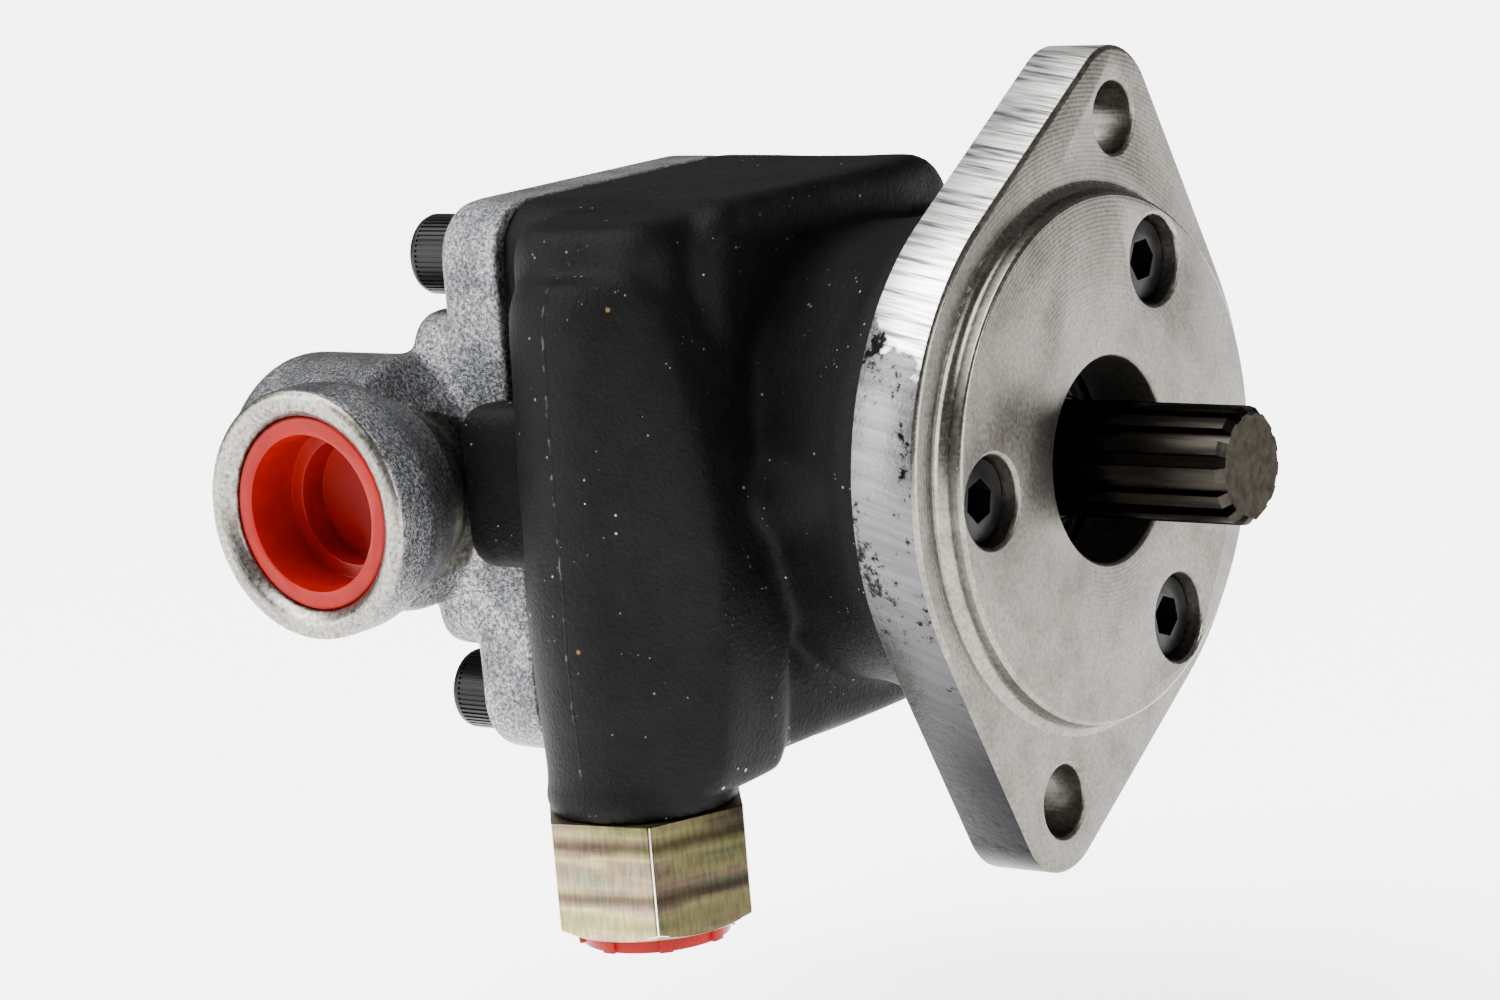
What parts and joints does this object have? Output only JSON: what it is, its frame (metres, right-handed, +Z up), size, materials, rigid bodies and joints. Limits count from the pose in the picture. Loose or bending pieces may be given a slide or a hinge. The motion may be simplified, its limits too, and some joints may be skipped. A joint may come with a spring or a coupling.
{
  "type": "hydraulic gear pump",
  "caption": "Hydraulic internal-gear pump with two-bolt flange, splined shaft, iron body, rear cover with side port and a hexagonal bottom port.",
  "frame": {"origin": "centre of the pilot, on the flange's mounting face", "axes": "+X out along the drive shaft, +Z up along the port column, -Y towards the two ports"},
  "size_m": [0.153, 0.1155, 0.1324],
  "materials": {
    "cast_iron_black_paint": "matte black paint over sand-cast skin",
    "machined_aluminium": "turned and milled, faint tool marks",
    "cast_aluminium": "blasted casting skin, machined port face",
    "ground_steel": "ground and lightly oiled",
    "hardened_steel": "dark hardened and oiled",
    "sintered_steel": "sintered and ground",
    "black_oxide_steel": "black oxide, knurled heads",
    "spring_steel": "phosphated",
    "bearing_bronze": "bored smooth",
    "nitrile_rubber": "moulded, satin",
    "yellow_zinc_steel": "yellow passivated zinc plate",
    "red_polyethylene": "moulded, glossy"
  },
  "bodies": {
    "housing": {"pump_body": "cast_iron_black_paint", "mounting_flange": "machined_aluminium", "rear_cover": "cast_aluminium", "front_bush": "bearing_bronze", "rear_bush": "bearing_bronze", "shaft_seal": "nitrile_rubber", "seal_spring": "spring_steel", "seal_retaining_ring": "spring_steel", "flange_seal": "nitrile_rubber", "cover_seal": "nitrile_rubber", "adapter_seal": "nitrile_rubber", "dowel_pins": "ground_steel", "flange_screws": "black_oxide_steel", "cover_screws": "black_oxide_steel", "port_adapter": "yellow_zinc_steel"},
    "drive": {"drive_shaft": "hardened_steel", "inner_rotor": "sintered_steel", "rotor_key": "ground_steel", "shaft_retaining_rings": "spring_steel"},
    "ring_gear": {"outer_rotor": "sintered_steel"},
    "inlet_cap": {"inlet_plug": "red_polyethylene"},
    "outlet_cap": {"outlet_plug": "red_polyethylene"}
  },
  "joints": [
    {"name": "drive_spin", "type": "hinge", "parent": "housing", "child": "drive", "pos_m": [0, 0, 0], "axis": [1, 0, 0], "continuous": true},
    {"name": "outer_rotor_spin", "type": "hinge", "parent": "housing", "child": "ring_gear", "pos_m": [0, -0.003, 0], "axis": [1, 0, 0], "continuous": true},
    {"name": "inlet_plug_pull", "type": "slide", "parent": "housing", "child": "inlet_cap", "axis": [0, -1, 0], "range_m": [0, 0.022]},
    {"name": "outlet_plug_pull", "type": "slide", "parent": "housing", "child": "outlet_cap", "axis": [0, 0, -1], "range_m": [0, 0.016]}
  ],
  "couplings": [
    {"joint": "outer_rotor_spin", "follows": "drive_spin", "ratio": 0.85714}
  ]
}
